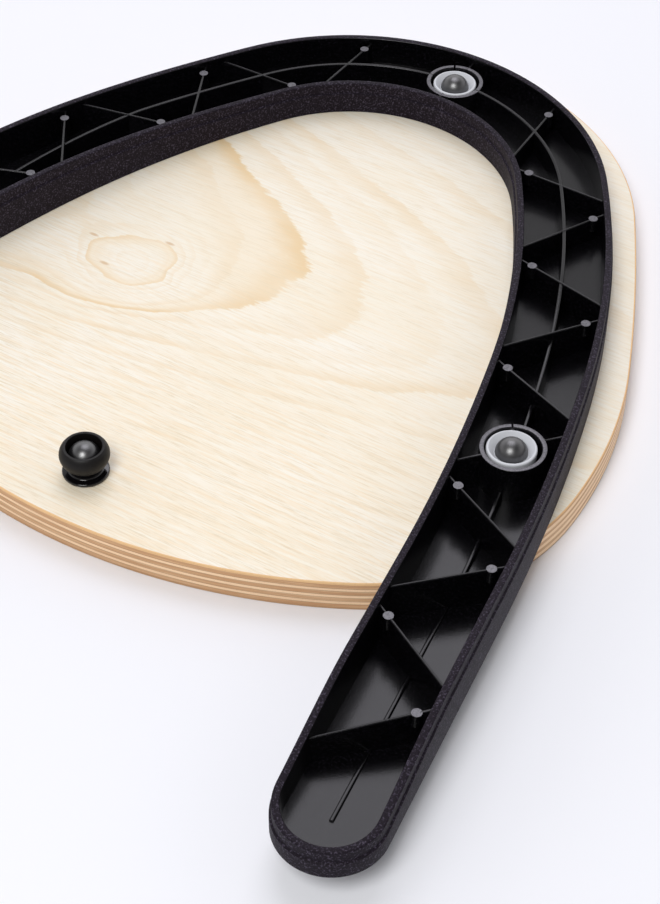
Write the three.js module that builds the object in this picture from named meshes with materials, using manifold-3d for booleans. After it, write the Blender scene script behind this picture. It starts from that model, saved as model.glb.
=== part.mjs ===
// A balance board, laid down with its underside up: a birch plywood deck, a one-piece ribbed plastic
// frame in the shape of a horseshoe that is screwed to it, and a rubber stud at the front.
// Millimetres, +Z up. +Y runs from the front of the board to its rear and +X to its right.
import * as THREE from 'three';
import { mergeVertices } from 'three/addons/utils/BufferGeometryUtils.js';
import Module from 'manifold-3d';

const wasm = await Module();
wasm.setup();

// Fits that all pieces share
const seatGap = 0.3; // left between two faces that rest on each other
const boreGap = 0.3; // left all round a pin in its hole
const overrun = 2; // how far a cut runs past the face that it opens
const curveError = 0.12; // most that a facet may stray from its arc
const stationStep = 15; // longest stretch between two sections of the frame
const roundFacets = 28; // round a turned piece that shows
const hiddenFacets = 18; // round one that is covered

// Deck, seen from above: arcs that run on from each other, from the front round to the rear
const deckWidth = 350.2;
const deckThickness = 15;
const deckEdge = 0.7; // small chamfer round both faces
const deckFrontTurn = 29.4; // degrees that the front edge has turned where the corner starts
const deckCornerRadius = 100;
const deckCornerTurn = 90;
const deckShoulderRadius = 213;
const deckShoulderTurn = 112;
const deckFlankRadius = 1013;
const deckFlankTurn = 118;

// Frame: the centre line of the right leg and of the bend that joins it to the left leg
const legInset = 13.8; // centre line of the leg inside the deck's widest point, where the bend begins
const legBendSetback = 39.1; // the same place behind the deck's front edge
const legSplay = 8.1; // degrees that the leg opens out toward the front
const legLength = 109; // from there to the middle of the round nose
const sideBendRadius = 940;
const sideBendEnd = 15.6; // degrees
const rearBendRadius = 475;
const rearBendEnd = 32; // degrees

// Frame: its section
const frameWidth = 42;
const skirt = 0.8; // how far the lower wall stands proud of the rim
const ledgeDrop = 5.6; // from the rim down to the ledge on top of the lower wall
const ledgeSlope = 0.3;
const rimEdge = 0.6; // small chamfer on the rim
const rimWidth = 3;
const wallDraft = 0.5; // how much the pocket narrows toward its floor
const webThickness = 2.3;
const legHeight = 22.6; // rim above the deck along the legs
const crownHeight = 16; // and in the middle of the rear bend
const noseHeight = 13;
const noseAngles = [86, 75, 60, 45, 30, 15]; // sections of the round nose, degrees before its middle
const noseRise = 62; // length over which the rim rises from the nose
const rearFallStart = 8; // along the centre line behind the socket
const rearFallEnd = 196;

// Frame: ribs
const ribDrop = 2.8; // rib tops below the rim
const ribThickness = 1.2;
const ribRun = 28.5; // length along the leg that one slanting rib covers
const ribGap = 8.7; // and the gap along the wall to the next one
const ribShift = -1.3; // middle of the rib that crosses the socket, along the leg
const ribMargin = 6; // least distance of a rib from the nose and from the rear socket
const ribRoot = 1.2; // how far a rib is sunk into wall and floor
const spineThickness = 1.7;
const spineLow = 3.5; // height of the low centre rib above the deck at the front
const spineHigh = 15.8; // and at the rear
const spineRiseStart = -90; // along the leg from the socket
const spineRiseEnd = 120;
const padDiameter = 4.1;
const padFromWall = 7.4; // along the rib
const padProud = 0.1;
const padFacets = 8;

// Frame: sockets
const socketSetback = 76; // from where the leg starts to bend, along the centre line
const ringDiameter = 27.4;
const ringBore = 23.4;
const ringOutset = 0.75; // the ring lies this much outward of the screw
const ringForward = 0.6; // and nearer to the nose
const ringSlit = 0.9;
const ringSlitDepth = 3;
const ringSlitAngle = 120; // degrees from +X
const postWall = 3;

// Bush in the socket and the screw in the bush
const bushDiameter = 20.7;
const bushDrop = 0.7; // its top below the ring
const bushHeight = 5;
const bushRound = 0.9;
const bushRoundAngles = [0, 30, 60, 90];
const bushLip = 0.1; // flat top between the round edge and the dish
const bushDish = 3.2; // depth of the dish
const shankDiameter = 6;
const headDiameter = 13.5;
const headSkirt = 0.5;
const headDome = 5.8;
const domeSteps = 5;
const tipChamfer = 0.6;
const sleeveWall = 1.4;

// Threaded insert in the deck
const insertWall = 1.8;
const insertLength = 11;
const insertFlange = 1.5;
const insertFlangeHeight = 1.2;
const insertRecess = 0.2; // its top below the deck's face
const shankShort = 1.2; // the screw ends this much above the insert's lower end

// Front stud
const studSetback = 27.1; // behind the deck's front edge
const baseDiameter = 19.4;
const baseFlange = 1.3;
const baseRound = 0.4;
const neckDiameter = 13.4;
const neckHeight = 5;
const grommetDiameter = 20.3;
const grommetTop = 14.2; // above the deck
const grommetFoot = 16; // diameter where the bulge starts
const grommetRecess = 14.9; // diameter of the recess at its rim
const grommetLip = 1; // flat on top of the rim
const grommetFloor = 14.3; // diameter of the recess at its floor
const grommetSeat = 8.4; // floor of the recess above the deck
const grommetFullness = 0.75; // power of the sine that bulges its side: below 1 is fuller
const grommetSteps = 8;

const birch = { color: 0xf2e2c6, roughness: 0.55, metalness: 0 };
const blackPlastic = { color: 0x2a282c, roughness: 0.5, metalness: 0 };
const glossBlack = { color: 0x121113, roughness: 0.2, metalness: 0 };
const rubber = { color: 0x1f1a18, roughness: 0.8, metalness: 0 };
const greyNylon = { color: 0xcdced2, roughness: 0.5, metalness: 0 };
const steel = { color: 0xb4b4b6, roughness: 0.35, metalness: 1 };

const rad = THREE.MathUtils.degToRad;

function mixSmooth(from, to, start, end, at) {
  return THREE.MathUtils.lerp(from, to, THREE.MathUtils.smoothstep(at, start, end));
}

// A place on an arc that turns left, by the heading of its tangent
function arcPoint(arc, heading) {
  return new THREE.Vector2(
    arc.centre.x + arc.radius * Math.sin(heading),
    arc.centre.y - arc.radius * Math.cos(heading),
  );
}

// Arcs that run on from each other, each given by its radius and the heading at its end in degrees
function arcChain(start, heading, bends) {
  let point = start;
  let from = rad(heading);
  return bends.map(({ radius, turnTo }) => {
    const to = rad(turnTo);
    const sideways = new THREE.Vector2(-Math.sin(from), Math.cos(from));
    const arc = { centre: point.clone().addScaledVector(sideways, radius), radius, from, to };
    point = arcPoint(arc, to);
    from = to;
    return arc;
  });
}

// The last arc, which brings a chain to the centre line of the board square to it
function closeOnCentreLine(arcs) {
  const last = arcs[arcs.length - 1];
  const end = arcPoint(last, last.to);
  const radius = end.x / Math.sin(last.to);
  return arcs.concat(arcChain(end, THREE.MathUtils.radToDeg(last.to), [{ radius, turnTo: 180 }]));
}

function headingsAlong(arc, outerRadius, longestStep) {
  const byCurve = (arc.to - arc.from) / (2 * Math.acos(1 - curveError / outerRadius));
  const byLength = ((arc.to - arc.from) * arc.radius) / longestStep;
  const count = Math.max(1, Math.ceil(Math.max(byCurve, byLength)));
  return Array.from({ length: count + 1 }, (_, i) => THREE.MathUtils.lerp(arc.from, arc.to, i / count));
}

function toSolid(geometry) {
  const bare = geometry.clone();
  bare.deleteAttribute('normal');
  bare.deleteAttribute('uv');
  const merged = mergeVertices(bare);
  const vertProperties = Float32Array.from(merged.attributes.position.array);
  const triVerts = Uint32Array.from(merged.index.array);
  return new wasm.Manifold(new wasm.Mesh({ numProp: 3, vertProperties, triVerts }));
}

function toGeometry(body) {
  const mesh = body.getMesh();
  const geometry = new THREE.BufferGeometry();
  geometry.setAttribute('position', new THREE.BufferAttribute(Float32Array.from(mesh.vertProperties), 3));
  geometry.setIndex(new THREE.BufferAttribute(Uint32Array.from(mesh.triVerts), 1));
  geometry.computeVertexNormals();
  return geometry;
}

// A body of revolution about a vertical axis, from [radius, height] pairs that start and end on the axis
// or close on themselves
function turned(profile, place, facets = roundFacets) {
  const points = profile.map(([radius, height]) => new THREE.Vector2(radius, height));
  const geometry = new THREE.LatheGeometry(points, facets);
  geometry.rotateX(Math.PI / 2);
  return geometry.translate(place.x, place.y, place.z ?? 0);
}

function drum(diameter, bottom, top, place, facets = roundFacets) {
  return turned([[0, bottom], [diameter / 2, bottom], [diameter / 2, top], [0, top]], place, facets);
}

// Deck
const deckArcs = closeOnCentreLine(
  arcChain(new THREE.Vector2(0, 0), 0, [
    {
      radius:
        (deckWidth / 2 - deckCornerRadius * (1 - Math.sin(rad(deckFrontTurn)))) / Math.sin(rad(deckFrontTurn)),
      turnTo: deckFrontTurn,
    },
    { radius: deckCornerRadius, turnTo: deckCornerTurn },
    { radius: deckShoulderRadius, turnTo: deckShoulderTurn },
    { radius: deckFlankRadius, turnTo: deckFlankTurn },
  ]),
);
const deckLength = arcPoint(deckArcs[deckArcs.length - 1], Math.PI).y;

function deckOutline(inset) {
  const right = deckArcs.flatMap((arc) => {
    const inner = { ...arc, radius: arc.radius - inset };
    return headingsAlong(arc, arc.radius, deckWidth).slice(1).map((heading) => arcPoint(inner, heading));
  });
  const left = right.slice(0, -1).reverse().map((point) => new THREE.Vector2(-point.x, point.y));
  return [...right, ...left, new THREE.Vector2(0, inset)];
}

// A solid between horizontal outlines of equal count, one above the other
function stackOutlines(levels) {
  const count = levels[0].points.length;
  const positions = levels.flatMap(({ points, z }) => points.flatMap((point) => [point.x, point.y, z]));
  const faces = THREE.ShapeUtils.triangulateShape(levels[0].points, []);
  const last = (levels.length - 1) * count;
  const index = faces.flatMap(([a, b, c]) => [c, b, a, last + a, last + b, last + c]);
  for (let level = 0; level < levels.length - 1; level += 1) {
    for (let i = 0; i < count; i += 1) {
      const low = level * count + i;
      const next = level * count + ((i + 1) % count);
      index.push(low, next, next + count, low, next + count, low + count);
    }
  }
  return indexed(positions, index);
}

function indexed(positions, index) {
  const geometry = new THREE.BufferGeometry();
  geometry.setAttribute('position', new THREE.Float32BufferAttribute(positions, 3));
  geometry.setIndex(index);
  return geometry;
}

function deckSheet() {
  return stackOutlines([
    { points: deckOutline(deckEdge), z: 0 },
    { points: deckOutline(0), z: deckEdge },
    { points: deckOutline(0), z: deckThickness - deckEdge },
    { points: deckOutline(deckEdge), z: deckThickness },
  ]);
}

// Frame: centre line
const legStart = new THREE.Vector2(deckWidth / 2 - legInset, legBendSetback);
const legHeading = 90 + legSplay;
const frameArcs = closeOnCentreLine(
  arcChain(legStart, legHeading, [
    { radius: sideBendRadius, turnTo: 90 + sideBendEnd },
    { radius: rearBendRadius, turnTo: 90 + rearBendEnd },
  ]),
);
const frameBase = deckThickness + seatGap;
const socketAt = legLength + socketSetback;
const crownAt = frameArcs.reduce((sum, arc) => sum + arc.radius * (arc.to - arc.from), legLength);

// A place along the right half of the centre line, by its distance from the middle of the nose
function frameStation(along) {
  let left = along - legLength;
  let heading = rad(legHeading);
  let point = legStart.clone().addScaledVector(new THREE.Vector2(Math.cos(heading), Math.sin(heading)), left);
  for (const arc of frameArcs) {
    if (left <= 0) break;
    const turn = Math.min(left / arc.radius, arc.to - arc.from);
    heading = arc.from + turn;
    point = arcPoint(arc, heading);
    left -= arc.radius * (arc.to - arc.from);
  }
  return { along, point, outward: new THREE.Vector2(Math.sin(heading), -Math.cos(heading)), taper: 1 };
}

function beside(station, offset) {
  return station.point.clone().addScaledVector(station.outward, offset);
}

function rimHeight(along) {
  const rear = mixSmooth(legHeight, crownHeight, rearFallStart, rearFallEnd, along - socketAt);
  const front = mixSmooth(noseHeight, legHeight, -frameWidth / 2, noseRise, along);
  return Math.min(rear, front);
}

// Sections from the nose to the crown; over the round nose they narrow as a half circle does
function halfFrame(halfWidth) {
  const nose = noseAngles.map((angle) => ({
    ...frameStation(-halfWidth * Math.sin(rad(angle))),
    taper: Math.cos(rad(angle)),
  }));
  const legSteps = Math.ceil(legLength / stationStep);
  const leg = Array.from({ length: legSteps }, (_, i) => frameStation((legLength * i) / legSteps));
  let done = legLength;
  const bends = frameArcs.flatMap((arc) => {
    const headings = headingsAlong(arc, arc.radius + halfWidth, stationStep);
    const stations = headings.slice(0, -1).map((h) => frameStation(done + arc.radius * (h - arc.from)));
    done += arc.radius * (arc.to - arc.from);
    return stations;
  });
  return [...nose, ...leg, ...bends];
}

function mirrored(station) {
  return {
    ...station,
    point: new THREE.Vector2(-station.point.x, station.point.y),
    outward: new THREE.Vector2(-station.outward.x, station.outward.y),
  };
}

function horseshoe(half) {
  return [...half, frameStation(crownAt), ...half.map(mirrored).reverse()];
}

// A solid swept through stations. The section is a list of [offset, height] pairs, anticlockwise.
function sweep(stations, sectionAt) {
  const sections = stations.map((station) => sectionAt(station));
  const count = sections[0].length;
  const positions = sections.flatMap((section, i) =>
    section.flatMap(([offset, height]) => {
      const place = beside(stations[i], offset * stations[i].taper);
      return [place.x, place.y, height];
    }),
  );
  const flat = sections[0].map(([offset, height]) => new THREE.Vector2(offset, height));
  const faces = THREE.ShapeUtils.triangulateShape(flat, []);
  const last = (stations.length - 1) * count;
  const index = faces.flatMap(([a, b, c]) => [a, b, c, last + c, last + b, last + a]);
  for (let i = 0; i < stations.length - 1; i += 1) {
    for (let j = 0; j < count; j += 1) {
      const here = i * count + j;
      const next = i * count + ((j + 1) % count);
      index.push(here, here + count, next + count, here, next + count, next);
    }
  }
  return indexed(positions, index);
}

function bothSides(halfSection) {
  const left = halfSection.map(([offset, height]) => [-offset, height]).reverse();
  return [...halfSection, ...left];
}

const rimZ = (along) => frameBase - seatGap + rimHeight(along);
const webZ = frameBase + webThickness;
const pocketHalf = frameWidth / 2 - rimWidth;

function frameShell() {
  const outer = sweep(horseshoe(halfFrame(frameWidth / 2)), ({ along }) => {
    const half = frameWidth / 2;
    const rim = rimZ(along);
    return bothSides([
      [half + skirt, frameBase],
      [half + skirt, rim - ledgeDrop],
      [half, rim - ledgeDrop + ledgeSlope],
      [half, rim - rimEdge],
      [half - rimEdge, rim],
    ]);
  });
  const pocket = sweep(horseshoe(halfFrame(pocketHalf)), ({ along }) => {
    const rim = rimZ(along);
    return bothSides([
      [pocketHalf - wallDraft, webZ],
      [pocketHalf, rim - rimEdge],
      [pocketHalf + rimEdge + overrun, rim + overrun],
    ]);
  });
  return toSolid(outer).subtract(toSolid(pocket));
}

// A thin upright rib between two places of the pocket
function ribBetween(from, to, thickness) {
  const run = to.place.clone().sub(from.place).normalize();
  const aside = new THREE.Vector2(run.y, -run.x).multiplyScalar(thickness / 2);
  const corners = [from, to].flatMap(({ place, top }) => [
    [place.x + aside.x, place.y + aside.y, webZ - ribRoot],
    [place.x - aside.x, place.y - aside.y, webZ - ribRoot],
    [place.x - aside.x, place.y - aside.y, top],
    [place.x + aside.x, place.y + aside.y, top],
  ]);
  const quads = [[3, 2, 1, 0], [4, 5, 6, 7], [1, 5, 4, 0], [2, 6, 5, 1], [3, 7, 6, 2], [0, 4, 7, 3]];
  return indexed(corners.flat(), quads.flatMap(([a, b, c, d]) => [a, b, c, a, c, d]));
}

function ribEnd(along, offset) {
  return { place: beside(frameStation(along), offset), top: rimZ(along) - ribDrop };
}

// Slanting ribs of the right half, in a zigzag that is counted from the socket
function zigzagRibs() {
  const pitch = ribRun + ribGap;
  const first = socketAt + ribShift;
  const lowest = Math.ceil((ribMargin + ribRun / 2 - first) / pitch);
  const highest = Math.floor((crownAt - ringDiameter / 2 - ribMargin - ribRun / 2 - first) / pitch);
  const reach = pocketHalf + ribRoot;
  return Array.from({ length: highest - lowest + 1 }, (_, i) => {
    const number = lowest + i;
    const middle = first + number * pitch;
    const slant = number % 2 === 0 ? 1 : -1;
    const front = ribEnd(middle - ribRun / 2, -slant * reach);
    const rear = ribEnd(middle + ribRun / 2, slant * reach);
    return { number, front, rear };
  });
}

// Round ejector marks on the ribs, near the wall at each rib's rear end
function padOn({ front, rear }) {
  const share = padFromWall / front.place.distanceTo(rear.place);
  const place = rear.place.clone().lerp(front.place, share);
  const top = THREE.MathUtils.lerp(rear.top, front.top, share) + padProud;
  return drum(padDiameter, webZ - ribRoot, top, place, padFacets);
}

function spineTop(along) {
  const free = mixSmooth(spineLow, spineHigh, spineRiseStart, spineRiseEnd, along - socketAt);
  return Math.min(deckThickness + free, rimZ(along) - ribDrop);
}

function spine() {
  const stations = horseshoe(halfFrame(pocketHalf).filter(({ taper }) => taper === 1));
  return sweep(stations, ({ along }) => {
    const top = spineTop(along);
    return [
      [-spineThickness / 2, webZ - ribRoot],
      [spineThickness / 2, webZ - ribRoot],
      [spineThickness / 2, top],
      [-spineThickness / 2, top],
    ];
  });
}

// Sockets: where a screw holds the frame. All heights of a fixing follow the rim at its place.
function fixingAt(station, ringPlace) {
  const { point: place, outward } = station;
  const ringTop = rimZ(station.along) - ribDrop;
  const bushTop = ringTop - bushDrop;
  return { place, ringPlace, outward, ringTop, bushTop, bushFoot: bushTop - bushHeight };
}
const legSocket = frameStation(socketAt);
const legRing = { ...legSocket, point: beside(frameStation(socketAt - ringForward), ringOutset) };
const rearSocket = frameStation(crownAt);
const fixings = {
  right: fixingAt(legSocket, legRing.point),
  left: fixingAt(mirrored(legSocket), mirrored(legRing).point),
  rear: fixingAt(rearSocket, rearSocket.point),
};
const sleeveBore = shankDiameter + 2 * boreGap;
const sleeveDiameter = sleeveBore + 2 * sleeveWall;
const postBore = sleeveDiameter + 2 * boreGap;
const postDiameter = postBore + 2 * postWall;

function slitBox({ ringPlace, ringTop }) {
  const outward = new THREE.Vector2(Math.cos(rad(ringSlitAngle)), Math.sin(rad(ringSlitAngle)));
  const wall = (ringDiameter - ringBore) / 2;
  const box = new THREE.BoxGeometry(wall + overrun, ringSlit, ringSlitDepth + overrun);
  box.rotateZ(rad(ringSlitAngle));
  const middle = ringPlace.clone().addScaledVector(outward, ringBore / 2 + wall / 2);
  return box.translate(middle.x, middle.y, ringTop - ringSlitDepth / 2 + overrun / 2);
}

function crossRib(fixing) {
  const reach = pocketHalf + ribRoot;
  const end = (side) => ({
    place: fixing.place.clone().addScaledVector(fixing.outward, side * reach),
    top: fixing.ringTop,
  });
  return ribBetween(end(-1), end(1), ribThickness);
}

function underFrame() {
  const ribs = zigzagRibs();
  const rightHalf = ribs
    .map(({ front, rear }) => ribBetween(front, rear, ribThickness))
    .concat(ribs.filter(({ number }) => number !== 0).map(padOn));
  const leftHalf = rightHalf.map((geometry) => mirrorGeometry(geometry));
  let body = frameShell();
  for (const piece of [spine(), crossRib(fixings.rear), ...rightHalf, ...leftHalf]) {
    body = body.add(toSolid(piece));
  }
  for (const fixing of Object.values(fixings)) {
    const { place, ringPlace, ringTop, bushFoot } = fixing;
    body = body
      .add(toSolid(drum(ringDiameter, webZ - ribRoot, ringTop, ringPlace)))
      .subtract(toSolid(drum(ringBore, webZ, ringTop + overrun, ringPlace)))
      .subtract(toSolid(slitBox(fixing)))
      .add(toSolid(drum(postDiameter, webZ - ribRoot, bushFoot - seatGap, place, hiddenFacets)))
      .subtract(toSolid(drum(postBore, frameBase - overrun, bushFoot, place, hiddenFacets)));
  }
  return toGeometry(body);
}

function mirrorGeometry(geometry) {
  const flipped = geometry.clone().applyMatrix4(new THREE.Matrix4().makeScale(-1, 1, 1));
  const index = Array.from(flipped.index.array);
  for (let i = 0; i < index.length; i += 3) {
    [index[i], index[i + 2]] = [index[i + 2], index[i]];
  }
  flipped.setIndex(index);
  return flipped;
}

// Fixing hardware
function screw(seat, tip, place) {
  const radius = headDiameter / 2;
  const ball = (radius ** 2 + headDome ** 2) / (2 * headDome);
  const spread = Math.asin(radius / ball);
  const dome = Array.from({ length: domeSteps }, (_, i) => {
    const angle = spread * (1 - i / domeSteps);
    return [ball * Math.sin(angle), seat + headSkirt + headDome - ball * (1 - Math.cos(angle))];
  });
  const shank = shankDiameter / 2;
  const profile = [[0, tip], [shank - tipChamfer, tip], [shank, tip + tipChamfer], [shank, seat],
    [radius, seat], ...dome, [0, seat + headSkirt + headDome]];
  return turned(profile, place);
}

function bush({ place, bushTop, bushFoot }) {
  const outer = bushDiameter / 2;
  const dishTop = outer - bushRound - bushLip;
  const floor = headDiameter / 2 + seatGap;
  const bore = sleeveBore / 2;
  const round = bushRoundAngles.map((angle) => [
    outer - bushRound * (1 - Math.cos(rad(angle))),
    bushTop - bushRound * (1 - Math.sin(rad(angle))),
  ]);
  return turned([[bore, bushFoot], [outer - bushRound, bushFoot], [outer, bushFoot + bushRound], ...round,
    [dishTop, bushTop], [floor, bushTop - bushDish], [bore, bushTop - bushDish], [bore, bushFoot]], place);
}

function sleeve({ place, bushFoot }) {
  const inner = sleeveBore / 2;
  const outer = sleeveDiameter / 2;
  const top = bushFoot - seatGap;
  const profile = [[inner, frameBase], [outer, frameBase], [outer, top], [inner, top], [inner, frameBase]];
  return turned(profile, place, hiddenFacets);
}

const insertTop = deckThickness - insertRecess;
const insertFoot = insertTop - insertLength;
const insertOuter = shankDiameter / 2 + boreGap + insertWall;

function insert(place) {
  const inner = shankDiameter / 2 + boreGap;
  const flange = insertOuter + insertFlange;
  const under = insertTop - insertFlangeHeight;
  return turned([[inner, insertFoot], [insertOuter, insertFoot], [insertOuter, under], [flange, under],
    [flange, insertTop], [inner, insertTop], [inner, insertFoot]], place, hiddenFacets);
}

function insertHole(place) {
  const hole = insertOuter + boreGap;
  const flange = insertOuter + insertFlange + boreGap;
  const under = insertTop - insertFlangeHeight - boreGap;
  const floor = insertFoot - boreGap;
  return turned([[0, floor], [hole, floor], [hole, under], [flange, under], [flange, deckThickness + overrun],
    [0, deckThickness + overrun]], place, hiddenFacets);
}

// Front stud
const studPlace = new THREE.Vector2(0, studSetback);
const studBaseFoot = deckThickness + seatGap;

function studBase() {
  const flange = baseDiameter / 2;
  const neck = neckDiameter / 2;
  const inner = sleeveBore / 2;
  const flangeTop = studBaseFoot + baseFlange;
  const top = deckThickness + neckHeight;
  return turned([[inner, studBaseFoot], [flange - baseRound, studBaseFoot], [flange, studBaseFoot + baseRound],
    [flange, flangeTop - baseRound], [flange - baseRound, flangeTop], [neck, flangeTop], [neck, top],
    [inner, top], [inner, studBaseFoot]], studPlace);
}

// Its side is a barrel: an arc from the foot over the widest circle to the rim
function studGrommet() {
  const foot = deckThickness + neckHeight + seatGap;
  const top = deckThickness + grommetTop;
  const inner = sleeveBore / 2;
  const rimOuter = grommetRecess / 2 + grommetLip;
  const swell = (grommetDiameter - grommetFoot) / 2;
  const waist = grommetFoot / 2;
  const side = Array.from({ length: grommetSteps + 1 }, (_, i) => {
    const share = i / grommetSteps;
    const straight = THREE.MathUtils.lerp(waist, rimOuter, share);
    return [straight + swell * Math.sin(Math.PI * share) ** grommetFullness, foot + (top - foot) * share];
  });
  return turned([[inner, foot], ...side, [grommetRecess / 2, top], [grommetFloor / 2, deckThickness + grommetSeat],
    [inner, deckThickness + grommetSeat], [inner, foot]], studPlace);
}

function deck() {
  const places = [...Object.values(fixings).map(({ place }) => place), studPlace];
  const body = places.reduce((rest, place) => rest.subtract(toSolid(insertHole(place))), toSolid(deckSheet()));
  return toGeometry(body);
}

// Assembly. The origin is on the standing face, in the middle of the board's footprint.
const noseReach = frameStation(0).point.y - frameWidth / 2;
const board = new THREE.Group();
board.position.y = -(deckLength + noseReach) / 2;

function addPiece(name, geometry, finish) {
  const mesh = new THREE.Mesh(geometry, new THREE.MeshStandardMaterial(finish));
  mesh.name = name;
  board.add(mesh);
}

addPiece('deck', deck(), birch);
addPiece('under_frame', underFrame(), blackPlastic);
for (const [side, fixing] of Object.entries(fixings)) {
  const seat = fixing.bushTop - bushDish + seatGap;
  addPiece(`frame_bush_${side}`, bush(fixing), greyNylon);
  addPiece(`frame_sleeve_${side}`, sleeve(fixing), steel);
  addPiece(`frame_screw_${side}`, screw(seat, insertFoot + shankShort, fixing.place), glossBlack);
  addPiece(`frame_insert_${side}`, insert(fixing.place), steel);
}
addPiece('stud_base', studBase(), glossBlack);
addPiece('stud_grommet', studGrommet(), rubber);
const studSeat = deckThickness + grommetSeat + seatGap;
addPiece('stud_screw', screw(studSeat, insertFoot + shankShort, studPlace), glossBlack);
addPiece('stud_insert', insert(studPlace), steel);

const product = new THREE.Group();
product.add(board);
export default product;
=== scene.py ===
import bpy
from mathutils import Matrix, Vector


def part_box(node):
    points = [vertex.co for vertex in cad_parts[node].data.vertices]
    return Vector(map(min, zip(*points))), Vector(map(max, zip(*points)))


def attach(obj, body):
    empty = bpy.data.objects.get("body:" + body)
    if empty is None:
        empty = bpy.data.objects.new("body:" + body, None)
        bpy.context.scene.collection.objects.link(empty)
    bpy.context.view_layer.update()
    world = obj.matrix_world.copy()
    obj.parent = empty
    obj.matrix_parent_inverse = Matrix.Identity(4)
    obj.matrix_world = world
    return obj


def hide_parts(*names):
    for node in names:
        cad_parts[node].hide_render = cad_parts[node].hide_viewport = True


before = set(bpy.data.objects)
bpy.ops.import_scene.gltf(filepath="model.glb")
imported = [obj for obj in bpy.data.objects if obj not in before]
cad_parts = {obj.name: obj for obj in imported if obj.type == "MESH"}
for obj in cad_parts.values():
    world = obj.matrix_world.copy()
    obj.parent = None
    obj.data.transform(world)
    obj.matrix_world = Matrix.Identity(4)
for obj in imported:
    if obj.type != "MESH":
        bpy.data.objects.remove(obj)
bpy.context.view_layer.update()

import math

import bmesh
import bpy
from mathutils import Matrix, Vector

scene = bpy.context.scene
mm = 0.001
millimetresPerMetre = 1000.0
tau = 2 * math.pi


def tell(stage):
    print("board:", stage)


# Camera: a long lens, well above the board, with the board turned in front of it
camera = {
    "sensorWidth": 36.0,
    "lens": 120.4,
    "aim": (77.6, -47.9, 15.0),  # mm, the middle of the picture
    "distance": 903.6,
    "elevation": 44.32,  # degrees
    "boardTurn": 31.5,  # how far the board is turned clockwise, degrees
    "roll": 0.57,
}


def addCamera():
    data = bpy.data.cameras.new("camera")
    data.sensor_fit = "HORIZONTAL"
    data.sensor_width = camera["sensorWidth"]
    data.lens = camera["lens"]
    data.clip_start = 0.01
    turn = math.radians(camera["boardTurn"])
    rise = math.radians(camera["elevation"])
    level = Vector((math.cos(turn), math.sin(turn), 0))
    ahead = Vector((-math.sin(turn), math.cos(turn), 0))
    upward = ahead * math.sin(rise) + Vector((0, 0, math.cos(rise)))
    roll = math.radians(camera["roll"])
    right = level * math.cos(roll) + upward * math.sin(roll)
    top = upward * math.cos(roll) - level * math.sin(roll)
    back = right.cross(top)
    place = Vector(camera["aim"]) * mm + back * camera["distance"] * mm
    holder = bpy.data.objects.new("camera", data)
    scene.collection.objects.link(holder)
    holder.matrix_world = Matrix.Translation(place) @ Matrix((right, top, back)).transposed().to_4x4()
    scene.camera = holder


addCamera()
tell("camera set")


# Nodes and colours
def connect(tree, node, inputs):
    # Each input is a value or another node's output
    for name, value in inputs.items() if isinstance(inputs, dict) else enumerate(inputs):
        if isinstance(value, bpy.types.NodeSocket):
            tree.links.new(value, node.inputs[name])
        else:
            node.inputs[name].default_value = value


def addNode(tree, kind, inputs=(), output=0, **settings):
    # A node with its settings and links, of which one output is handed back
    node = tree.nodes.new(kind)
    for name, value in settings.items():
        setattr(node, name, value)
    connect(tree, node, inputs)
    return node.outputs[output] if len(node.outputs) else None


# For a Map Range node that eases in and out between its limits
soft = {"interpolation_type": "SMOOTHSTEP"}


def linear(hexColour):
    shares = [int(hexColour[i : i + 2], 16) / 255 for i in (1, 3, 5)]
    return [s / 12.92 if s <= 0.04045 else ((s + 0.055) / 1.055) ** 2.4 for s in shares] + [1.0]


def newMaterial(name):
    # A material, its node tree and the place of each spot on the piece in mm
    material = bpy.data.materials.new(name)
    material.use_nodes = True
    tree = material.node_tree
    local = addNode(tree, "ShaderNodeTexCoord", output="Object")
    place = addNode(tree, "ShaderNodeVectorMath", {0: local, "Scale": millimetresPerMetre}, operation="SCALE")
    return material, tree, place


def finished(material, inputs, relief=None, depth=0.0):
    # Gives the surface its values, and a relief of the given depth in mm
    tree = material.node_tree
    if relief is not None:
        normal = addNode(tree, "ShaderNodeBump", {"Height": relief, "Distance": depth * mm})
        inputs = dict(inputs, Normal=normal)
    connect(tree, tree.nodes["Principled BSDF"], inputs)
    return material


def layered(tree, colour, coats):
    # Colours laid over each other, each as strongly as its share says
    for share, over in coats:
        inputs = {0: share, 6: colour, 7: linear(over)}
        colour = addNode(tree, "ShaderNodeMix", inputs, 2, data_type="RGBA")
    return colour


def stretched(tree, vector, lengths, shift=(0, 0, 0)):
    # Space in which one unit is the given length in mm along each axis
    shifted = addNode(tree, "ShaderNodeVectorMath", [vector, shift], operation="ADD")
    return addNode(tree, "ShaderNodeVectorMath", [shifted, lengths], operation="DIVIDE")


def distanceFrom(tree, place, lengths, centre):
    vector = stretched(tree, place, lengths, [-value for value in centre])
    return addNode(tree, "ShaderNodeVectorMath", [vector], "Value", operation="LENGTH")


def unevenness(tree, place, given):
    # Noise with features of the given lengths in mm, cut off softly between two limits where they are given
    vector = stretched(tree, place, given["lengths"], given.get("shift", (0, 0, 0)))
    inputs = {"Vector": vector, "Scale": 1.0, "Detail": given["detail"], "Roughness": given["fineness"]}
    cloud = addNode(tree, "ShaderNodeTexNoise", inputs)
    if "limits" not in given:
        return cloud
    return addNode(tree, "ShaderNodeMapRange", [cloud, *given["limits"]], **soft)


def swayed(tree, value, place, given):
    # The value, moved up and down by half of the given amount at most
    offset = addNode(tree, "ShaderNodeMath", [unevenness(tree, place, given), 0.5], operation="SUBTRACT")
    return addNode(tree, "ShaderNodeMath", [offset, given["amount"], value], operation="MULTIPLY_ADD")


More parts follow.
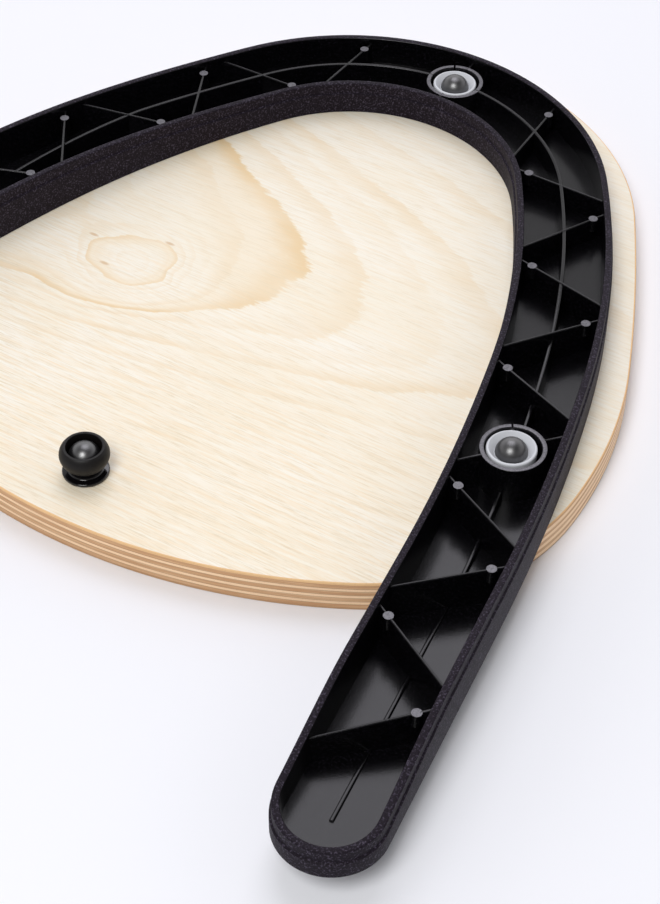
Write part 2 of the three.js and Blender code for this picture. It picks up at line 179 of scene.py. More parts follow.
# Rotary-cut birch veneer under clear satin lacquer: pale cream, with wide growth rings that run to a point
# where the knife followed them, an eye, tiny pin knots, straight fine fibres across the board and a soft
# sheen. Lengths are in mm. Limits are where something begins to show and where it shows in full, and a
# second pair is how strongly it shows at each of them. Fineness is the roughness of a noise.
birchVeneer = {
    "pale": "#f4efe2",
    "usual": "#f2ead7",
    "tan": "#f0dfc1",
    "ring": "#e8cc9e",
    "hair": "#e1d1b2",
    "knot": "#d3b184",
    "point": 25.0,  # the board's Y that the rings point along
    "front": 21.0,  # how blunt they are in front of it
    "rear": 70.0,  # and behind it
    "heart": -240.0,  # the board's X where the rings begin
    "ringRate": 0.945,  # rings for each square root of a millimetre from there
    "lateWood": (0.2, 0.92, 1.0),  # shares of a ring where it begins, is darkest and ends
    "ringStrength": (0.3, 0.1),  # the most that chance adds, and the least
    "faintRings": (8.0, 11.0, 0.35, 1.0),  # ring numbers, and the strength up to the one and from the other
    "strongRings": ((14, 1.0), (17, 0.5), (9, 0.6)),  # number and strength: the flame, the next, the eye
    "tanRings": ((14, 2.4, 0.45), (9, 2.6, 0.6)),  # number, rings of tan wood behind the edge, strength
    "tanInFull": 0.4,  # share of the ring where that wood is at its strongest
    "eye": (-60.0, 5.0, 15.0),  # its middle on the board
    "eyeLengths": (25.0, 24.5, 60.0),
    "eyeDepth": 155.0,  # how far the eye pushes the rings back
    "dent": {  # of the eye, as a share of its lengths
        "lengths": (24.0, 16.0, 40.0),
        "shift": (4, 1, 9),
        "detail": 1.0,
        "fineness": 0.5,
        "amount": 0.6,
    },
    "sway": {  # of the rings, in mm
        "lengths": (60.0, 24.0, 40.0),
        "shift": (7, 3, 5),
        "detail": 4.0,
        "fineness": 0.5,
        "amount": 34.0,
    },
    "ragged": {  # edges of the rings, in rings
        "lengths": (7.0, 1.5, 3.0),
        "detail": 3.0,
        "fineness": 0.6,
        "amount": 0.36,
    },
    "faded": {  # places where the rings are weaker
        "lengths": (55.0, 30.0, 40.0),
        "shift": (3, 90, 7),
        "detail": 1.0,
        "fineness": 0.5,
        "limits": (0.3, 0.6, 0.45, 1.0),
    },
    "cloud": {
        "lengths": (95.0, 38.0, 40.0),
        "shift": (8, 2, 1),
        "detail": 3.0,
        "fineness": 0.6,
        "limits": (0.3, 0.7),
    },
    "fibre": {"lengths": (30.0, 1.3, 3.0), "detail": 4.0, "fineness": 0.75, "limits": (0.4, 0.68)},
    "pores": {"lengths": (12.0, 0.5, 2.0), "detail": 3.0, "fineness": 0.7, "limits": (0.48, 0.72)},
    "frontward": (40.0, -90.0, 0.6, 1.0),  # the board's Y, and how much of the fibres shows there
    "knots": ((-88.0, 15.0), (-55.0, 28.0), (-72.0, 1.0)),  # places on the board
    "knotLengths": (3.6, 1.3, 40.0),
    "knotLimits": (1.0, 0.45, 0.0, 0.75),
    "poreDepth": 0.02,
    "roughness": 0.42,
    "ior": 1.5,
}


def growthRings(tree, place):
    # The number of the growth ring at each spot, which rises from the heart outward
    v = birchVeneer
    x = addNode(tree, "ShaderNodeSeparateXYZ", [place], "X")
    y = addNode(tree, "ShaderNodeSeparateXYZ", [place], "Y")
    across = addNode(tree, "ShaderNodeMath", [y, v["point"]], operation="SUBTRACT")
    inFront = addNode(tree, "ShaderNodeMath", [across, 0.0], operation="LESS_THAN")
    bends = [inFront, 1 / v["front"] - 1 / v["rear"], 1 / v["rear"]]
    bend = addNode(tree, "ShaderNodeMath", bends, operation="MULTIPLY_ADD")
    squared = addNode(tree, "ShaderNodeMath", [across, across], operation="MULTIPLY")
    along = addNode(tree, "ShaderNodeMath", [squared, bend, x], operation="MULTIPLY_ADD")
    toEye = swayed(tree, distanceFrom(tree, place, v["eyeLengths"], v["eye"]), place, v["dent"])
    toEye = addNode(tree, "ShaderNodeMath", [toEye, 0.0], operation="MAXIMUM")
    squared = addNode(tree, "ShaderNodeMath", [toEye, toEye], operation="MULTIPLY")
    fall = addNode(tree, "ShaderNodeMath", [squared, -1.0], operation="MULTIPLY")
    eye = addNode(tree, "ShaderNodeMath", [fall], operation="EXPONENT")
    along = addNode(tree, "ShaderNodeMath", [eye, -v["eyeDepth"], along], operation="MULTIPLY_ADD")
    along = swayed(tree, along, place, v["sway"])
    fromHeart = addNode(tree, "ShaderNodeMath", [along, v["heart"]], operation="SUBTRACT")
    fromHeart = addNode(tree, "ShaderNodeMath", [fromHeart, 0.0], operation="MAXIMUM")
    root = addNode(tree, "ShaderNodeMath", [fromHeart], operation="SQRT")
    rings = addNode(tree, "ShaderNodeMath", [root, v["ringRate"]], operation="MULTIPLY")
    return swayed(tree, rings, place, v["ragged"])


def ringTone(tree, place, rings):
    # How dark the late wood of each ring is: by chance, but for the strong ones, and faded in places
    v = birchVeneer
    begins, darkest, ends = v["lateWood"]
    number = addNode(tree, "ShaderNodeMath", [rings], operation="FLOOR")
    within = addNode(tree, "ShaderNodeMath", [rings], operation="FRACT")
    rising = addNode(tree, "ShaderNodeMapRange", [within, begins, darkest], **soft)
    falling = addNode(tree, "ShaderNodeMapRange", [within, ends, darkest], **soft)
    late = addNode(tree, "ShaderNodeMath", [rising, falling], operation="MULTIPLY")
    chance = addNode(tree, "ShaderNodeTexWhiteNoise", {"W": number}, noise_dimensions="1D")
    squared = addNode(tree, "ShaderNodeMath", [chance, chance], operation="MULTIPLY")
    strength = addNode(tree, "ShaderNodeMath", [squared, *v["ringStrength"]], operation="MULTIPLY_ADD")
    faint = addNode(tree, "ShaderNodeMapRange", [rings, *v["faintRings"]], **soft)
    strength = addNode(tree, "ShaderNodeMath", [strength, faint], operation="MULTIPLY")
    for strong, share in v["strongRings"]:
        isThis = addNode(tree, "ShaderNodeMath", [number, float(strong), 0.5], operation="COMPARE")
        this = addNode(tree, "ShaderNodeMath", [isThis, share], operation="MULTIPLY")
        strength = addNode(tree, "ShaderNodeMath", [strength, this], operation="MAXIMUM")
    faded = unevenness(tree, place, v["faded"])
    shown = addNode(tree, "ShaderNodeMath", [strength, faded], operation="MULTIPLY")
    return addNode(tree, "ShaderNodeMath", [late, shown], operation="MULTIPLY")


def tanWood(tree, rings):
    # The tan wood behind the edges of the strongest rings
    v = birchVeneer
    bands = []
    for ring, width, strength in v["tanRings"]:
        limits = [rings, ring + 1 - width, ring + v["tanInFull"], 0.0, strength]
        rising = addNode(tree, "ShaderNodeMapRange", limits, **soft)
        isInside = addNode(tree, "ShaderNodeMath", [rings, ring + 1.0], operation="LESS_THAN")
        bands.append(addNode(tree, "ShaderNodeMath", [rising, isInside], operation="MULTIPLY"))
    return addNode(tree, "ShaderNodeMath", bands, operation="MAXIMUM")


def makeBirchVeneer():
    v = birchVeneer
    material, tree, place = newMaterial("rotaryCutBirchLacquered")
    rings = growthRings(tree, place)
    pores = unevenness(tree, place, v["pores"])
    y = addNode(tree, "ShaderNodeSeparateXYZ", [place], "Y")
    shown = addNode(tree, "ShaderNodeMapRange", [y, *v["frontward"]], **soft)
    fibres = [unevenness(tree, place, v["fibre"]), shown]
    coats = [
        (unevenness(tree, place, v["cloud"]), v["usual"]),
        (tanWood(tree, rings), v["tan"]),
        (addNode(tree, "ShaderNodeMath", fibres, operation="MULTIPLY"), v["tan"]),
        (ringTone(tree, place, rings), v["ring"]),
        (addNode(tree, "ShaderNodeMath", [pores, shown], operation="MULTIPLY"), v["hair"]),
    ]
    for x, y in v["knots"]:
        reach = distanceFrom(tree, place, v["knotLengths"], (x, y, 0.0))
        coats.append((addNode(tree, "ShaderNodeMapRange", [reach, *v["knotLimits"]], **soft), v["knot"]))
    colour = layered(tree, linear(v["pale"]), coats)
    hollow = addNode(tree, "ShaderNodeMath", [pores, -1.0], operation="MULTIPLY")
    inputs = {"Base Color": colour, "Roughness": v["roughness"], "IOR": v["ior"]}
    return finished(material, inputs, hollow, v["poreDepth"])


# Sawn and sanded edge of birch plywood: thin pale plies of long grain and thicker brown ones of end grain.
# Round the corner to the side of the board the two change places. The lowest ply is darkened by painted
# shade next to the table.
plyEdge = {
    "facePly": 1.0,  # mm
    "crossPly": 2.2,
    "crossPlies": 4,
    "face": "#ecc28c",
    "long": "#fadab2",
    "end": "#cb9b6d",
    # painted shade: the colour of the lowest ply, next to the table
    "low": "#bc9268",
    "glue": "#8f6441",
    "glueLine": 0.28,
    "bow": {"lengths": (60.0, 60.0, 60.0), "detail": 1.0, "fineness": 0.5, "amount": 0.4},
    "speck": {"lengths": (0.8, 0.8, 0.4), "detail": 2.0, "fineness": 0.7},
    "speckLimits": (0.55, 0.75, 0.0, 0.22),
    "streak": {"lengths": (24.0, 24.0, 0.45), "detail": 2.0, "fineness": 0.6, "amount": 1.5},
    "sideLimits": (0.5, 0.9),  # how far the edge faces sideways where the plies change places
    "layerTone": 0.16,  # how much one ply differs from the next
    "endTone": 0.9,  # how dark the end grain is
    "tableShadeTone": 0.8,  # how much the painted shade next to the table darkens the lowest ply
    "glueTone": 0.4,
    "roughness": 0.6,
    "ior": 1.5,
    "grainDepth": 0.04,
}


def makePlyEdge(thickness):
    v = plyEdge
    material, tree, place = newMaterial("sandedPlywoodEdge")
    facing = addNode(tree, "ShaderNodeTexCoord", output="Normal")
    side = addNode(tree, "ShaderNodeSeparateXYZ", [facing], "X")
    side = addNode(tree, "ShaderNodeMath", [side], operation="ABSOLUTE")
    sideways = addNode(tree, "ShaderNodeMapRange", [side, *v["sideLimits"]], **soft)
    height = swayed(tree, addNode(tree, "ShaderNodeSeparateXYZ", [place], "Z"), place, v["bow"])
    period = (thickness - 2 * v["facePly"] - v["crossPly"]) / (v["crossPlies"] - 1)
    aboveFace = addNode(tree, "ShaderNodeMath", [height, v["facePly"]], operation="SUBTRACT")
    ply = addNode(tree, "ShaderNodeMath", [aboveFace, period], operation="DIVIDE")
    within = addNode(tree, "ShaderNodeMath", [ply], operation="FRACT")
    within = addNode(tree, "ShaderNodeMath", [within, period], operation="MULTIPLY")
    inCross = addNode(tree, "ShaderNodeMath", [within, v["crossPly"]], operation="LESS_THAN")
    halves = [height, thickness / 2, thickness / 2 - v["facePly"]]
    core = addNode(tree, "ShaderNodeMath", halves, operation="COMPARE")
    crossPly = addNode(tree, "ShaderNodeMath", [inCross, core], operation="MULTIPLY")
    endGrain = addNode(tree, "ShaderNodeMath", [crossPly, sideways], operation="SUBTRACT")
    endGrain = addNode(tree, "ShaderNodeMath", [endGrain], operation="ABSOLUTE")
    nearTop = [within, v["crossPly"], v["glueLine"] / 2]
    nearTop = addNode(tree, "ShaderNodeMath", nearTop, operation="COMPARE")
    nearFoot = addNode(tree, "ShaderNodeMath", [within, v["glueLine"]], operation="LESS_THAN")
    glue = addNode(tree, "ShaderNodeMath", [nearFoot, nearTop], operation="MAXIMUM")
    glue = addNode(tree, "ShaderNodeMath", [glue, core], operation="MULTIPLY")
    layer = addNode(tree, "ShaderNodeMath", [ply], operation="FLOOR")
    chance = addNode(tree, "ShaderNodeTexWhiteNoise", {"W": layer}, noise_dimensions="1D")
    chance = addNode(tree, "ShaderNodeMath", [chance, 0.5], operation="SUBTRACT")
    tone = addNode(tree, "ShaderNodeMath", [endGrain, v["endTone"]], operation="MULTIPLY")
    tone = addNode(tree, "ShaderNodeMath", [chance, v["layerTone"], tone], operation="MULTIPLY_ADD")
    tone = swayed(tree, tone, place, v["streak"])
    speck = unevenness(tree, place, v["speck"])
    lowest = addNode(tree, "ShaderNodeMath", [height, v["facePly"]], operation="LESS_THAN")
    coats = [
        (core, v["long"]),
        (addNode(tree, "ShaderNodeMapRange", [tone, 0.0, 1.0], interpolation_type="LINEAR"), v["end"]),
        (addNode(tree, "ShaderNodeMapRange", [speck, *v["speckLimits"]], **soft), v["glue"]),
        # painted shade on the lowest ply, where the edge meets the table
        (addNode(tree, "ShaderNodeMath", [lowest, v["tableShadeTone"]], operation="MULTIPLY"), v["low"]),
        (addNode(tree, "ShaderNodeMath", [glue, v["glueTone"]], operation="MULTIPLY"), v["glue"]),
    ]
    colour = layered(tree, linear(v["face"]), coats)
    inputs = {"Base Color": colour, "Roughness": v["roughness"], "IOR": v["ior"]}
    return finished(material, inputs, speck, v["grainDepth"])


# Injection moulded black polypropylene. The outside comes from a spark-eroded tool: a fine even grain that
# spreads the gloss into a grey bloom; its purple tint is partly painted reflection of the pale lavender
# floor, and its pale speckle is partly dust and partly painted glints of the grain. The pockets come from
# smooth cores and are glossy. Ejector pins and the screw socket's tool left paler scuffed ends, and these
# paler tops, only where a face looks up, are partly a painted highlight. The real grain is about 0.1 mm, and
# it is drawn coarser so that it shows.
mouldedBlack = {
    "grained": {
        "name": "sparkErodedBlackPolypropylene",
        # the purple tint is partly painted reflection of the pale lavender floor
        "colour": "#150e18",
        "roughness": 0.6,
        "specular": 0.15,
        "depth": 0.09,
        # pale speckle on the grained outside: dust, and also painted glints of the grain
        "dust": 0.7,
    },
    "smooth": {
        "name": "smoothBlackPolypropylene",
        "colour": "#040405",
        "roughness": 0.2,
        "specular": 0.36,
        "depth": 0.03,
        "dust": 0.1,
    },
    "scuffedAndHighlit": {
        "name": "scuffedBlackPolypropylene",
        "colour": "#040405",
        "roughness": 0.25,
        "specular": 0.48,
        "depth": 0.03,
        "dust": 0.1,
        # where the paler scuffs and painted highlight show, and how strongly
        "scuffsAndHighlight": (0.3, 0.7, 0.55, 1.0),
    },
    # pale purple speckle colour: dust, and on the grained outside painted glints and painted floor reflection
    "dust": "#575060",
    "dustAndGlintLimits": (0.5, 0.72),
    # paler colour of the scuffs, which also paints the highlight on faces that look up
    "scuffAndHighlight": "#66646b",
    "upwardLimits": (0.7, 0.95),  # how far a face looks up to take the paler scuffs and the painted highlight
    "grain": {"lengths": (0.8, 0.8, 0.8), "detail": 2.0, "fineness": 0.6},
    "flow": {"lengths": (1.1, 30.0, 30.0), "detail": 2.0, "fineness": 0.6, "amount": 0.03},
    "ior": 1.49,
}


def makeMouldedBlack(finish):
    v = mouldedBlack
    given = v[finish]
    material, tree, place = newMaterial(given["name"])
    grain = unevenness(tree, place, v["grain"])
    # Pale speckle: dust, and on the grained outside also painted glints of the grain
    dust = addNode(tree, "ShaderNodeMapRange", [grain, *v["dustAndGlintLimits"], 0.0, given["dust"]], **soft)
    coats = [(dust, v["dust"])]
    # Paler tops only where a face looks up: scuffs and a painted highlight
    if "scuffsAndHighlight" in given:
        facing = addNode(tree, "ShaderNodeTexCoord", output="Normal")
        upward = addNode(tree, "ShaderNodeSeparateXYZ", [facing], "Z")
        upward = addNode(tree, "ShaderNodeMapRange", [upward, *v["upwardLimits"]], **soft)
        scuffsAndHighlight = addNode(tree, "ShaderNodeMapRange", [grain, *given["scuffsAndHighlight"]], **soft)
        coats.append((addNode(tree, "ShaderNodeMath", [upward, scuffsAndHighlight], operation="MULTIPLY"), v["scuffAndHighlight"]))
    inputs = {
        "Base Color": layered(tree, linear(given["colour"]), coats),
        "Roughness": swayed(tree, given["roughness"], place, v["flow"]),
        "IOR": v["ior"],
        "Specular IOR Level": given["specular"],
    }
    return finished(material, inputs, grain, given["depth"])


# Button head of blackened steel. Its oxide skin bends light far more than a lacquer does, so that the dome
# takes a bright highlight and darkens toward its rim.
coatedBlack = {
    "colour": "#050406",
    "ior": 2.2,
    "roughness": (0.33, 0.39),
    "wave": {"lengths": (4.0, 4.0, 4.0), "detail": 1.0, "fineness": 0.5},
    "waveLimits": (0.3, 0.7),
    "waveDepth": 0.015,
}


def makeCoatedBlack():
    v = coatedBlack
    material, tree, place = newMaterial("blackOxideSteelHead")
    wave = unevenness(tree, place, v["wave"])
    inputs = {
        "Base Color": linear(v["colour"]),
        "Roughness": addNode(tree, "ShaderNodeMapRange", [wave, *v["waveLimits"], *v["roughness"]], **soft),
        "IOR": v["ior"],
    }
    return finished(material, inputs, wave, v["waveDepth"])


# Polished black ABS, moulded in a mirror tool: hard, clear reflections on the edges, dulled by a little dust
glossBlack = {
    "colour": "#0c0b0d",
    "roughness": (0.09, 0.24),  # clean and dusty
    "dust": {"lengths": (0.7, 0.7, 0.7), "detail": 2.0, "fineness": 0.5, "limits": (0.6, 0.8)},
    "ior": 1.54,
}


def makeGlossBlack():
    v = glossBlack
    material, tree, place = newMaterial("polishedBlackAbs")
    dust = unevenness(tree, place, v["dust"])
    rough = addNode(tree, "ShaderNodeMapRange", [dust, 0.0, 1.0, *v["roughness"]], **soft)
    return finished(material, {"Base Color": linear(v["colour"]), "Roughness": rough, "IOR": v["ior"]})


# Compression moulded black rubber: matt and very slightly brown, with a broad dull sheen. The real grain is
# finer, and it is drawn coarser so that it shows.
ringRubber = {
    "colour": "#090605",
    "worn": "#15100d",
    "wornLimits": (0.5, 0.75, 0.0, 0.5),
    "roughness": 0.5,
    "ior": 1.52,
    "specular": 0.28,
    "grain": {"lengths": (0.6, 0.6, 0.6), "detail": 2.0, "fineness": 0.6},
    "grainDepth": 0.03,
}


def makeRingRubber():
    v = ringRubber
    material, tree, place = newMaterial("mouldedBlackRubber")
    grain = unevenness(tree, place, v["grain"])
    worn = addNode(tree, "ShaderNodeMapRange", [grain, *v["wornLimits"]], **soft)
    inputs = {
        "Base Color": layered(tree, linear(v["colour"]), [(worn, v["worn"])]),
        "Roughness": v["roughness"],
        "IOR": v["ior"],
        "Specular IOR Level": v["specular"],
    }
    return finished(material, inputs, grain, v["grainDepth"])


# Turned light grey nylon: satin, and very slightly mottled, with marks that are drawn coarser than the real
# ones so that they show
turnedNylon = {
    "colour": "#d8dade",
    "shade": "#ced1d6",
    "roughness": 0.6,
    "ior": 1.53,
    "grain": {"lengths": (0.8, 0.8, 0.8), "detail": 2.0, "fineness": 0.6},
    "grainDepth": 0.02,
}


def makeTurnedNylon():
    v = turnedNylon
    material, tree, place = newMaterial("turnedGreyNylon")
    grain = unevenness(tree, place, v["grain"])
    colour = layered(tree, linear(v["colour"]), [(grain, v["shade"])])
    inputs = {"Base Color": colour, "Roughness": v["roughness"], "IOR": v["ior"]}
    return finished(material, inputs, grain, v["grainDepth"])


# Zinc-plated turned steel: grey metal, slightly blotchy
zincSteel = {
    "colour": "#b5b6b9",
    "dull": "#94969a",
    "blotch": {"lengths": (1.8, 1.8, 1.8), "detail": 3.0, "fineness": 0.6},
    "blotchLimits": (0.3, 0.7),
    "roughness": (0.36, 0.48),
}


def makeZincSteel():
    v = zincSteel
    material, tree, place = newMaterial("zincPlatedSteel")
    blotch = unevenness(tree, place, v["blotch"])
    colour = layered(tree, linear(v["colour"]), [(blotch, v["dull"])])
    rough = addNode(tree, "ShaderNodeMapRange", [blotch, *v["blotchLimits"], *v["roughness"]], **soft)
    return finished(material, {"Base Color": colour, "Roughness": rough, "Metallic": 1.0})


deckLow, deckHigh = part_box("deck")
deckThickness = (deckHigh.z - deckLow.z) / mm
birch = makeBirchVeneer()
edgeWood = makePlyEdge(deckThickness)
grainedPlastic = makeMouldedBlack("grained")
smoothPlastic = makeMouldedBlack("smooth")
scuffedHighlitPlastic = makeMouldedBlack("scuffedAndHighlit")
headFinish = makeCoatedBlack()
glossFinish = makeGlossBlack()
rubber = makeRingRubber()
nylon = makeTurnedNylon()
steel = makeZincSteel()
tell("materials made")


# Meshes. Lengths are in mm until the last step of each.
mergeDistance = 0.002


def meshFrom(name, points, faces=(), edges=(), materials=(), slots=None):
    mesh = bpy.data.meshes.new(name)
    mesh.from_pydata([Vector(point) * mm for point in points], list(edges), list(faces))
    for material in materials:
        mesh.materials.append(material)
    if slots:
        mesh.polygons.foreach_set("material_index", slots)
    mesh.update()
    return mesh


def placed(name, mesh):
    piece = bpy.data.objects.new(name, mesh)
    scene.collection.objects.link(piece)
    return piece


def cleaned(mesh):
    # Doubles merged and every face turned outwards
    work = bmesh.new()
    work.from_mesh(mesh)
    bmesh.ops.remove_doubles(work, verts=work.verts, dist=mergeDistance * mm)
    bmesh.ops.dissolve_degenerate(work, edges=work.edges, dist=mergeDistance * mm)
    bmesh.ops.recalc_face_normals(work, faces=work.faces)
    work.to_mesh(mesh)
    work.free()
    return mesh


def smooth(mesh, sharpFrom=32.0):
    mesh.shade_smooth()
    mesh.set_sharp_from_angle(angle=math.radians(sharpFrom))


def settled(piece):
    # The piece's modifiers become its mesh
    bpy.context.view_layer.update()
    seen = piece.evaluated_get(bpy.context.evaluated_depsgraph_get())
    mesh = bpy.data.meshes.new_from_object(seen)
    piece.modifiers.clear()
    piece.data = mesh
    mesh.name = piece.name
    return piece


def dressed(piece, slot, *nodes):
    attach(piece, "root")
    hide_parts(*nodes)
    return piece


# Arcs that run on from each other and turn left, each given by its radius and the heading at its end
def arcPoint(arc, heading):
    return arc["centre"] + Vector((math.sin(heading), -math.cos(heading))) * arc["radius"]


def arcChain(start, heading, bends):
    point = Vector(start)
    fromAngle = math.radians(heading)
    arcs = []
    for radius, turnTo in bends:
        toAngle = math.radians(turnTo)
        sideways = Vector((-math.sin(fromAngle), math.cos(fromAngle)))
        arc = {"centre": point + sideways * radius, "radius": radius, "from": fromAngle, "to": toAngle}
        arcs.append(arc)
        point = arcPoint(arc, toAngle)
        fromAngle = toAngle
    return arcs


def closedOnCentreLine(arcs):
    last = arcs[-1]
    end = arcPoint(last, last["to"])
    radius = end.x / math.sin(last["to"])
    return arcs + arcChain(end, math.degrees(last["to"]), [(radius, 180.0)])


# Deck: its outline is a chain of arcs from the middle of the front round the right side to the rear. A
# turn is the heading at the end of an arc, in degrees.
deckShape = {
    "frontTurn": 29.4,
    "cornerRadius": 100.0,
    "shoulderRadius": 213.0,
    "shoulderTurn": 112.0,
    "flankRadius": 1013.0,
    "flankTurn": 118.0,
    "edgeRound": 0.7,
    "roundSteps": 3,
    "support": 0.25,  # from the round to the loop that keeps the faces flat
    "step": 1.5,  # mm between points of the outline
}
boardFront = deckLow.y / mm


def deckArcs():
    d = deckShape
    halfWidth = deckHigh.x / mm
    turn = math.sin(math.radians(d["frontTurn"]))
    frontRadius = (halfWidth - d["cornerRadius"] * (1 - turn)) / turn
    bends = [
        (frontRadius, d["frontTurn"]),
        (d["cornerRadius"], 90.0),
        (d["shoulderRadius"], d["shoulderTurn"]),
        (d["flankRadius"], d["flankTurn"]),
    ]
    return closedOnCentreLine(arcChain((0.0, boardFront), 0.0, bends))


def deckOutline(arcs, inset):
    right = []
    for arc in arcs:
        steps = math.ceil((arc["to"] - arc["from"]) * arc["radius"] / deckShape["step"])
        inner = dict(arc, radius=arc["radius"] - inset)
        turns = [arc["from"] + (arc["to"] - arc["from"]) * i / steps for i in range(1, steps + 1)]
        right += [arcPoint(inner, turn) for turn in turns]
    left = [Vector((-point.x, point.y)) for point in reversed(right[:-1])]
    return [Vector((0.0, boardFront + inset))] + right + left


def deckLevels():
    # (inset, height) from the middle of the lower face, round the edge, to the upper face
    radius = deckShape["edgeRound"]
    steps = deckShape["roundSteps"]
    support = radius + deckShape["support"]
    turns = [i / steps * math.pi / 2 for i in range(steps + 1)]
    low = [(radius * (1 - math.sin(turn)), radius * (1 - math.cos(turn))) for turn in turns]
    high = [(inset, deckThickness - height) for inset, height in reversed(low)]
    return [(support, 0.0)] + low + high + [(support, deckThickness)]


def makeDeck():
    arcs = deckArcs()
    rings = [(deckOutline(arcs, inset), height) for inset, height in deckLevels()]
    count = len(rings[0][0])
    points = [(point.x, point.y, height) for ring, height in rings for point in ring]
    faces = [tuple(range(count - 1, -1, -1))]
    slots = [0]
    for level in range(len(rings) - 1):
        onFace = level in (0, len(rings) - 2)
        for i in range(count):
            low = level * count + i
            right = level * count + (i + 1) % count
            faces.append((low, right, right + count, low + count))
            slots.append(0 if onFace else 1)
    top = (len(rings) - 1) * count
    faces.append(tuple(range(top, top + count)))
    slots.append(0)
    mesh = meshFrom("deckBoard", points, faces, (), (birch, edgeWood), slots)
    return placed("deckBoard", mesh)


deckBoard = makeDeck()
tell("deck made")


# Turned pieces: a closed [radius, height] profile, anticlockwise, round an upright axis
def rounded(profile, radii, steps=3):
    # Each corner of a closed profile as an arc of its own radius
    made = []
    for i, (corner, radius) in enumerate(zip(profile, radii)):
        here = Vector(corner)
        if not radius:
            made.append(here)
            continue
        before = (Vector(profile[i - 1]) - here).normalized()
        after = (Vector(profile[(i + 1) % len(profile)]) - here).normalized()
        half = before.angle(after) / 2
        reach = radius / math.tan(half)
        centre = here + (before + after).normalized() * radius / math.sin(half)
        start = here + before * reach - centre
        end = here + after * reach - centre
        for step in range(steps + 1):
            share = step / steps
            spread = start.angle(end)
            first = math.sin((1 - share) * spread) / math.sin(spread)
            second = math.sin(share * spread) / math.sin(spread)
            made.append(centre + start * first + end * second)
    return made


fineAround = 96  # faces round what shows large
hiddenAround = 48


def turned(name, profile, axis, material, around=72):
    count = len(profile)
    points = []
    for i in range(around):
        angle = tau * i / around
        for radius, height in profile:
            points.append((axis[0] + radius * math.cos(angle), axis[1] + radius * math.sin(angle), height))
    faces = []
    for i in range(around):
        for j in range(count):
            low, high = i * count + j, i * count + (j + 1) % count
            nextLow = ((i + 1) % around) * count + j
            nextHigh = ((i + 1) % around) * count + (j + 1) % count
            faces.append((low, nextLow, nextHigh, high))
    mesh = meshFrom(name, points, faces, (), (material,))
    smooth(cleaned(mesh))
    return placed(name, mesh)


def columnOf(node):
    # Upright axis of a round CAD node, and its lowest and highest point, in mm
    low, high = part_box(node)
    middle = (low + high) / 2 / mm
    return (middle.x, middle.y), low.z / mm, high.z / mm


def joinedWith(piece, operation, *others):
    for other in others:
        modifier = piece.modifiers.new("join", "BOOLEAN")
        modifier.operation = operation
        modifier.solver = "MANIFOLD"
        modifier.material_mode = "TRANSFER"
        modifier.object = other
        settled(piece)
        bpy.data.objects.remove(other)
    return piece


# Threaded inserts sit in blind stepped holes of the deck
insertHole = {"tubeRadius": 5.4, "flangeRadius": 6.9, "flangeDepth": 1.7, "gap": 0.3, "overrun": 2.0}


def holeCutter(node):
    v = insertHole
    axis, low, high = columnOf(node)
    floor = low - v["gap"]
    step = deckThickness - v["flangeDepth"]
    top = deckThickness + v["overrun"]
    profile = [(0.0, floor), (v["tubeRadius"], floor), (v["tubeRadius"], step)]
    profile += [(v["flangeRadius"], step), (v["flangeRadius"], top), (0.0, top)]
    return turned("holeCutter", profile, axis, birch, hiddenAround)


fixingSides = ("right", "left", "rear")
insertNodes = [f"frame_insert_{side}" for side in fixingSides] + ["stud_insert"]
joinedWith(deckBoard, "DIFFERENCE", *[holeCutter(node) for node in insertNodes])
cleaned(deckBoard.data)
smooth(deckBoard.data)
dressed(deckBoard, "birch_plywood", "deck")
tell("deck drilled")


# Geometry Nodes that sweep a profile along a path. The points of the profile that are marked to follow
# are lifted by the path's own height.
def newTree(name, sockets):
    tree = bpy.data.node_groups.new(name, "GeometryNodeTree")
    tree.interface.new_socket("Geometry", in_out="INPUT", socket_type="NodeSocketGeometry")
    for label, kind in sockets:
        tree.interface.new_socket(label, in_out="INPUT", socket_type=kind)
    tree.interface.new_socket("Geometry", in_out="OUTPUT", socket_type="NodeSocketGeometry")
    return tree, tree.nodes.new("NodeGroupInput").outputs


def endTree(tree, geometry, finish):
    whole = addNode(tree, "GeometryNodeRealizeInstances", {"Geometry": geometry})
    painted = addNode(tree, "GeometryNodeSetMaterial", {"Geometry": whole, "Material": finish})
    addNode(tree, "NodeGroupOutput", {"Geometry": painted})
    return tree


def makeSweepTree():
    kinds = {"Profile": "NodeSocketObject", "Cap ends": "NodeSocketBool", "Finish": "NodeSocketMaterial"}
    tree, given = newTree("sweepAlongPath", kinds.items())
    path = addNode(tree, "GeometryNodeMeshToCurve", {"Mesh": given["Geometry"]})
    upright = addNode(tree, "GeometryNodeSetCurveNormal", {"Curve": path}, mode="Z_UP")
    drawn = addNode(tree, "GeometryNodeObjectInfo", {"Object": given["Profile"]}, "Geometry")
    outline = addNode(tree, "GeometryNodeMeshToCurve", {"Mesh": drawn})
    inputs = {"Curve": upright, "Profile Curve": outline, "Fill Caps": given["Cap ends"]}
    swept = addNode(tree, "GeometryNodeCurveToMesh", inputs)
    marks = [
        addNode(tree, "GeometryNodeInputNamedAttribute", {"Name": name}, "Attribute", data_type="FLOAT")
        for name in ("lift", "follows")
    ]
    rise = addNode(tree, "ShaderNodeMath", marks, operation="MULTIPLY")
    offset = addNode(tree, "ShaderNodeCombineXYZ", {"Z": rise})
    lifted = addNode(tree, "GeometryNodeSetPosition", {"Geometry": swept, "Offset": offset})
    return endTree(tree, lifted, given["Finish"])


def runTree(piece, tree, values):
    modifier = piece.modifiers.new("shape", "NODES")
    modifier.node_group = tree
    for item in tree.interface.items_tree:
        if item.name in values:
            modifier[item.identifier] = values[item.name]
    return settled(piece)


def markPoints(mesh, name, values):
    mesh.attributes.new(name, "FLOAT", "POINT").data.foreach_set("value", values)


